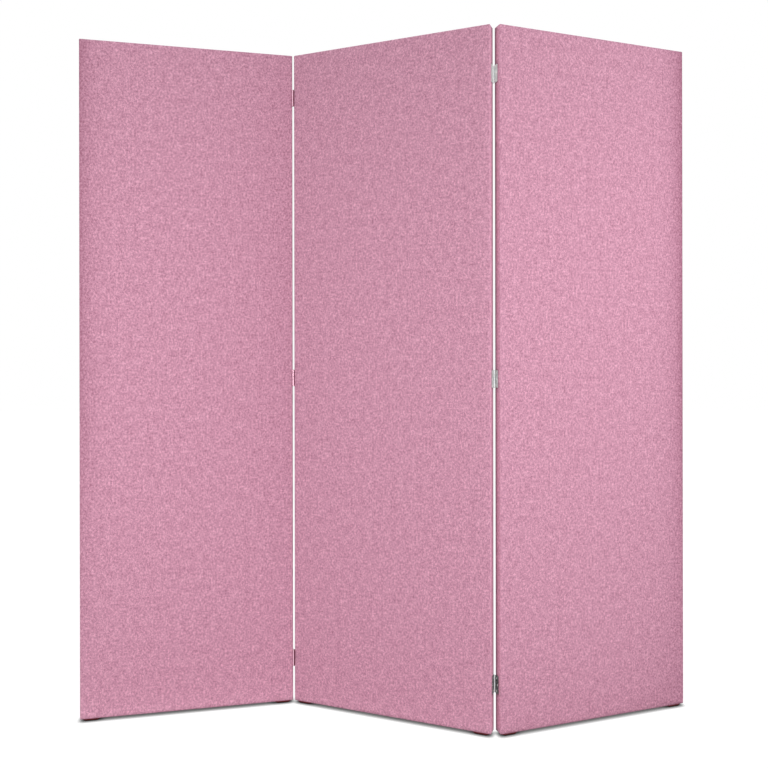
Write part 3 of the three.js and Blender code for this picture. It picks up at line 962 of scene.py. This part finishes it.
def painted_light_and_shade_tone(value, tone, name, clouds, across, height):
    """The cloth's tone with painted light and shade: painted shade along the edges and in a lower
    corner, and a painted pale band of light from the floor along the lower edge.
    """
    within_reach = height.between(0, MIDDLE_HEIGHT)
    # Painted shade along the panels' edges, where the faces turn away and into the folding
    # valleys
    for side, reach, share in PAINTED_EDGE_SHADE[name]:
        edge_shade = value.fading(PANEL_WIDTH / 2 - across * side, reach) * within_reach
        tone = tone - edge_shade * (clouds * 0.5 + 0.75) * share
    # Painted shade in a lower corner
    if name in PAINTED_CORNER_SHADE:
        side, share = PAINTED_CORNER_SHADE[name]
        near = value.fading(PANEL_WIDTH / 2 - across * side, CORNER_SHADE_WIDTH)
        tone = tone - near * value.fading(height, CORNER_SHADE_HEIGHT) * share
    # A painted pale band of light from the floor along the lower edge
    return tone + value.fading(height, FLOOR_BOUNCE_REACH) * PAINTED_FLOOR_BOUNCE.get(name, 0.0)


def melange_wool(name, panel, seed, hinges):
    """Felted wool cloth spun from dark, middle and pale pink fibres: fine flecks a little longer
    up than across, faint upright streaks and soft clouds. Over it lie painted shade along its
    edges, in a lower corner, along its lower edge, deep in the folding gaps and round the
    leaves, and painted light on the edges that fold together and in a band along the lower edge."""
    def paint(value):
        place = value.mapped_place("cloth")
        shift = (seed * 1.37, seed * 0.71, 0)
        flecks = value.noise(value.stretched(place, FLECKS, shift), detail=3.0, rough=0.9)
        streaks = value.noise(value.stretched(place, STREAKS, shift))
        clouds = value.noise(value.stretched(place, CLOUDS, shift), detail=3.0)
        tone = (flecks - 0.5) * FLECK_STRENGTH + (streaks - 0.5) * STREAK_STRENGTH
        tone = tone + (clouds - 0.5) * CLOUD_STRENGTH + 0.5
        across = value.split(value.mapped_place("panel"), "X")
        through = value.split(value.mapped_place("panel"), "Y")
        height = value.split(place, "Y") + PANEL_HEIGHT / 2
        tone = painted_light_and_shade_tone(value, tone, panel, clouds, across, height)
        # Painted shade along the lower edge, where the underside turns into shade
        painted_shade = value.fading(height, LOW_EDGE_SHADE_REACH) * LOW_EDGE_SHADE
        for side, face in hinges:
            on_edge = value.math("GREATER_THAN", across * side, PANEL_WIDTH / 2 - 0.5 * MM)
            # Painted light on the side faces at the folding edges
            tone = tone + on_edge * PAINTED_LIGHT_ON_FOLDING_EDGES
            inwards = PANEL_THICKNESS / 2 - through * face
            # Painted shade deep in the folding gap
            painted_shade = painted_shade + value.fading(inwards, GAP_SHADE_REACH) * on_edge * GAP_SHADE
            for middle in HINGE_HEIGHTS.values():
                above = value.math("ABSOLUTE", height - middle) - HINGE_HEIGHT / 2
                beside = inwards - (LEAF_REACH - AXIS_STANDOFF)
                to_leaf = value.math("MAXIMUM", above, beside)
                # Painted shade round the hinges' leaves
                painted_shade = painted_shade + value.fading(to_leaf, LEAF_SHADE_REACH) * on_edge * LEAF_SHADE
        stops = [
            (share, linear(*(np.array(WOOL_TONE) + (share - 0.5) * WOOL_RANGE)))
            for share in (0, 0.25, 0.5, 0.75, 1)
        ]
        unshaded = value.node("ShaderNodeValToRGB", {"Fac": tone}, stops=stops)
        # The cloth's colour darkened towards the painted shade colour
        colour = value.blend(painted_shade.clamp(), unshaded, linear(*PAINTED_SHADE_COLOUR))
        felt = value.noise(value.stretched(place, FELT, shift), detail=3.0, rough=0.7)
        nap = value.bump(felt * 0.6 + flecks * 0.4, 0.25, 0.5 * MM)
        return {"Base Color": colour, "Roughness": 0.82 + flecks * 0.16, "Normal": nap}
    return finish_material(
        name, paint, Sheen_Weight=0.12, Sheen_Roughness=0.5, Sheen_Tint=(1.0, 0.86, 0.92, 1),
        Specular_IOR_Level=0.15,
    )


def wool_wadding():
    """Needled wadding: pale tangled fibres with a few darker ones."""
    def paint(value):
        fibres = value.grain((320, 320, 320), detail=5.0, rough=0.7)
        lumps = value.grain((40, 40, 40))
        mixed = fibres * 0.7 + lumps * 0.3
        colour = value.blend(mixed, linear(205, 196, 180), linear(246, 242, 234))
        return {"Base Color": colour, "Normal": value.bump(fibres, 0.6, 1 * MM)}
    return finish_material("wool_wadding", paint, Roughness=1.0, Sheen_Weight=0.3)


def plating(name, axis, highlit_side_colour, shaded_side_colour):
    """Satin nickel plating on rolled steel, with faint rolling marks up the leaf. It turns dull
    and dark in random patches, and darker low down by painted shade that stands in for darker
    reflections there, and is whitish and less mirror-like elsewhere. The barrel, within its
    radius of the hinge's axis, is bare metal in two painted colours: a painted highlight on its
    left side and painted shade on its right side, which on the left joint is a painted reflection
    of the shaded pink cloth. The two come closer to each other at the panels' middle height."""
    def paint(value):
        rolling = value.grain((2200, 2200, 160))
        patches = value.grain((420, 420, 420), detail=3.0, rough=0.7).between(0.35, 0.65)
        place = value.object_place()
        height = value.split(place, "Z")
        low = 1 - height.between(0, PANEL_HEIGHT)
        out_x = value.split(place, "X") - axis[0]
        out_y = value.split(place, "Y") - axis[1]
        to_axis = value.math("SQRT", out_x * out_x + out_y * out_y)
        off_barrel = to_axis.between(BARREL_RADIUS, BARREL_RADIUS + MM)
        # Random dull patches, and painted shade that grows low down, standing in for darker
        # reflections there
        dulled_and_shaded = (low * low * low * 0.5 + patches * (low * 0.6 + 0.15)).clamp()
        leaf = value.blend(dulled_and_shaded, linear(*BRIGHT_LEAF), linear(*DULL_AND_SHADED_LEAF))
        # Painted highlight on the barrel's left side and painted shade on its right, brought
        # closer together at the middle height
        from_middle = value.math("ABSOLUTE", height - MIDDLE_HEIGHT)
        near_middle = 1 - from_middle.between(0, MIDDLE_HEIGHT)
        right_side = out_x.between(-0.1 * BARREL_RADIUS, 0.4 * BARREL_RADIUS)
        shaded_side_share = right_side * (1 - near_middle * 0.7) + near_middle * 0.3
        barrel = value.blend(shaded_side_share, linear(*highlit_side_colour), linear(*shaded_side_colour))
        return {
            "Base Color": value.blend(off_barrel, barrel, leaf),
            "Metallic": value.math("MAXIMUM", dulled_and_shaded * 0.55 + 0.45, 1 - off_barrel),
            "Roughness": 0.26 + rolling * 0.08 + patches * 0.1,
            "Normal": value.bump(rolling, 0.1, 0.05 * MM),
        }
    return finish_material(name, paint)


def zinc_screw():
    """Zinc plating with a whitish bloom, paler than the leaves."""
    def paint(value):
        bloom = value.grain((500, 500, 500), detail=3.0)
        colour = value.blend(bloom, linear(240, 238, 234), linear(255, 255, 252))
        return {"Base Color": colour, "Roughness": 0.22 + bloom * 0.2}
    return finish_material("zinc_screw", paint, Metallic=0.1)


def dark_moulding():
    """Dark moulded plastic with a fine grain, redder higher up and scuffed paler near the
    floor."""
    def paint(value):
        grain = value.grain((1500, 1500, 1500), detail=2.0, rough=0.6)
        scuffs = value.grain((160, 160, 900), detail=3.0)
        height = value.split(value.object_place(), "Z")
        low = 1 - height.between(0, 2 * MM)
        high = height.between(1.5 * MM, 4 * MM)
        scuffed = scuffs.between(0.5, 0.75) * low
        moulded = value.blend(high, linear(24, 9, 10), linear(104, 23, 27))
        colour = value.blend(scuffed * 0.3, moulded, linear(84, 62, 58))
        return {
            "Base Color": colour,
            "Roughness": 0.42 + grain * 0.15 + scuffed * 0.2,
            "Normal": value.bump(grain, 0.25, 0.1 * MM),
        }
    return finish_material("dark_moulding", paint, Specular_IOR_Level=0.3)


def pine(name, along):
    """Planed pine: growth rings as bands of a distorted distance across the grain, drawn out
    along it, with fine pores. along is the grain's direction."""
    def paint(value):
        wander = value.grain(tuple(6 if axis else 90 for axis in along), detail=3.0)
        pores = value.grain(tuple(60 if axis else 1600 for axis in along))
        rings = value.math("SINE", wander * 42.0) * 0.5 + 0.5
        mixed = rings * 0.75 + pores * 0.25
        colour = value.blend(mixed, linear(226, 194, 148), linear(196, 152, 100))
        return {
            "Base Color": colour,
            "Roughness": 0.6 + pores * 0.2,
            "Normal": value.bump(pores, 0.3, 0.2 * MM),
        }
    return finish_material(name, paint)


def soft_board():
    """Pressed wood fibres: a felted brown board with pale and dark chips."""
    def paint(value):
        chips = value.grain((700, 700, 700), detail=4.0, rough=0.7)
        lumps = value.grain((60, 60, 60))
        mixed = chips * 0.8 + lumps * 0.2
        colour = value.blend(mixed, linear(126, 98, 66), linear(190, 164, 124))
        return {"Base Color": colour, "Normal": value.bump(chips, 0.6, 0.6 * MM)}
    return finish_material("soft_board", paint, Roughness=0.95)


def give_material(made, material):
    """Takes off the material that a piece had and puts this one on."""
    made.data.materials.clear()
    made.data.materials.append(material)


# Camera and studio

def camera():
    """Level, at about the middle of the panels' height, and turned a hair about its own axis."""
    data = bpy.data.cameras.new("camera")
    data.lens = CAMERA_LENS
    data.sensor_width = CAMERA_SENSOR
    data.shift_x, data.shift_y = CAMERA_SHIFT
    made = in_scene("camera", data)
    made.location = CAMERA_PLACE
    made.rotation_euler = (math.pi / 2, CAMERA_ROLL, 0)
    bpy.context.scene.camera = made


def soft_box(name, place, power):
    """A square lamp that faces the divider's middle."""
    data = bpy.data.lights.new(name, "AREA")
    data.size = LAMP_SIZE
    data.energy = power
    made = in_scene(name, data)
    made.location = place
    beam = Vector(LAMP_AIM) - Vector(place)
    made.rotation_euler = beam.to_track_quat("-Z", "Y").to_euler()


def seen_directly(value):
    """1 for rays that come from the camera or from a gloss or glass surface."""
    rays = ("Is Camera Ray", "Is Glossy Ray", "Is Transmission Ray")
    parts = [value.node("ShaderNodeLightPath", output=ray) for ray in rays]
    return (parts[0] + parts[1] + parts[2]).clamp()


def studio_world():
    """White where it is seen directly, and a faint even light on everything else."""
    world = bpy.data.worlds.new("studio")
    bpy.context.scene.world = world
    world.use_nodes = True
    tree = world.node_tree
    value = Value(tree)
    strength = seen_directly(value) * (1.0 - AMBIENT) + AMBIENT
    background = tree.nodes["Background"]
    background.inputs["Color"].default_value = (1, 1, 1, 1)
    tree.links.new(strength.socket, background.inputs["Strength"])


def studio_floor():
    """A white floor. Seen directly it glows nearly white, less where something stands close
    over it, and the rest of its white comes from the light, so that it keeps the shadow."""
    corners = [(x, y, 0) for x, y in ((-1, -1), (1, -1), (1, 1), (-1, 1))]
    floor = piece("floor", np.array(corners) * FLOOR_REACH, [[0, 1, 2, 3]])
    made = finish_material(
        "studio_floor", lambda value: {}, Base_Color=(FLOOR_WHITE, FLOOR_WHITE, FLOOR_WHITE, 1),
        Roughness=0.9, Specular_IOR_Level=0.0,
    )
    tree = made.node_tree
    value = Value(tree)
    reach = {"Distance": FLOOR_SHADOW_REACH}
    clear = value.node("ShaderNodeAmbientOcclusion", reach, output="AO", samples=16)
    clear = value.math("POWER", clear, FLOOR_SHADOW_POWER)
    glow = value.node("ShaderNodeEmission", {"Strength": clear * FLOOR_GLOW})
    lit = Value(tree, tree.nodes["Principled BSDF"].outputs["BSDF"])
    seen = value.node("ShaderNodeMixShader", {0: FLOOR_LIT_SHARE, 1: glow, 2: lit})
    both = value.node("ShaderNodeMixShader", {0: seen_directly(value), 1: lit, 2: seen})
    tree.links.new(both.socket, tree.nodes["Material Output"].inputs["Surface"])
    give_material(floor, made)


# The divider

def dress_panel(name, looks):
    """One panel: its cloth, wadding and glides take the place of the plain ones, and the
    pieces inside get their finishes."""
    matrix = PANELS[name]
    hinges = PANEL_HINGES[name]
    seed = PANEL_SEEDS[name]
    travel = settled_sheet(seed)
    cover = cloth_cover(f"{name}_cloth", hinges, travel, seed, matrix)
    give_material(cover, melange_wool(f"melange_wool_{name}", name, seed, hinges))
    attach(cover, name)
    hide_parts(f"{name}_cover")
    for word, face, face_seed in (("front", -1, seed), ("back", 1, seed + 1)):
        pad = wadding_sheet(f"{name}_{word}_wadding", face, travel, face_seed, matrix)
        give_material(pad, looks["wadding"])
        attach(pad, name)
        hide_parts(f"{name}_{word}_pad")
    for word, side in (("left", -1), ("right", 1)):
        foot = glide(f"{name}_{word}_foot", side, matrix)
        give_material(foot, looks["plastic"])
        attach(foot, name)
        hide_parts(f"{name}_{word}_glide")
        give_material(frame["nodes"][f"{name}_{word}_glide_screw"], looks["zinc"])
        give_material(frame["nodes"][f"{name}_{word}_stile"], looks["upright_pine"])
    for word in ("top", "middle", "bottom"):
        give_material(frame["nodes"][f"{name}_{word}_rail"], looks["rail_pine"])
    for word in ("lower", "upper"):
        give_material(frame["nodes"][f"{name}_{word}_core"], looks["board"])


def dress_hinge(joint, word, side_panel, sides, face, looks):
    """One hinge: sides holds the centre panel's edge and the side panel's edge."""
    height = HINGE_HEIGHTS[word]
    roles = (
        ("centre", "centre_panel", sides[0], (0, 2, 4)),
        ("side", side_panel, sides[1], (1, 3)),
    )
    for role, panel, side, numbers in roles:
        matrix = PANELS[panel] @ leaf_place(side, face, height)
        node = f"{joint}_{word}_hinge_{role}_leaf"
        leaf = hinge_leaf(f"{node}_plate", numbers, matrix)
        give_material(leaf, looks[f"{joint}_plating"])
        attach(leaf, panel)
        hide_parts(node)
        screws = hinge_screws(f"{node}_screws", matrix)
        give_material(screws, looks["zinc"])
        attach(screws, panel)
    matrix = PANELS["centre_panel"] @ leaf_place(sides[0], face, height)
    pin = hinge_pin(f"{joint}_{word}_hinge_round_pin", matrix)
    give_material(pin, looks[f"{joint}_plating"])
    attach(pin, "centre_panel")
    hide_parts(f"{joint}_{word}_hinge_pin")


def build():
    """The camera, the finishes, the panels with their hinges, and the studio."""
    camera()
    looks = {
        "wadding": wool_wadding(),
        "plastic": dark_moulding(),
        # Each joint's plating carries painted highlights and painted shade on its barrels, and
        # painted shade low down on its leaves
        "left_plating": plating("left_plating_with_painted_light", AXES["left_fold"], *LEFT_BARREL_LIGHT_AND_SHADE),
        "right_plating": plating("right_plating_with_painted_light", AXES["right_fold"], *RIGHT_BARREL_LIGHT_AND_SHADE),
        "zinc": zinc_screw(),
        "upright_pine": pine("upright_pine", (0, 0, 1)),
        "rail_pine": pine("rail_pine", (1, 0, 0)),
        "board": soft_board(),
    }
    for name in PANELS:
        dress_panel(name, looks)
    for word in HINGE_HEIGHTS:
        dress_hinge("left", word, "left_panel", (-1, 1), -1, looks)
        dress_hinge("right", word, "right_panel", (1, -1), 1, looks)
    studio_world()
    studio_floor()
    for name, (place, power) in LAMPS.items():
        soft_box(name, place, power)
    bpy.context.scene.view_settings.view_transform = "Standard"


build()
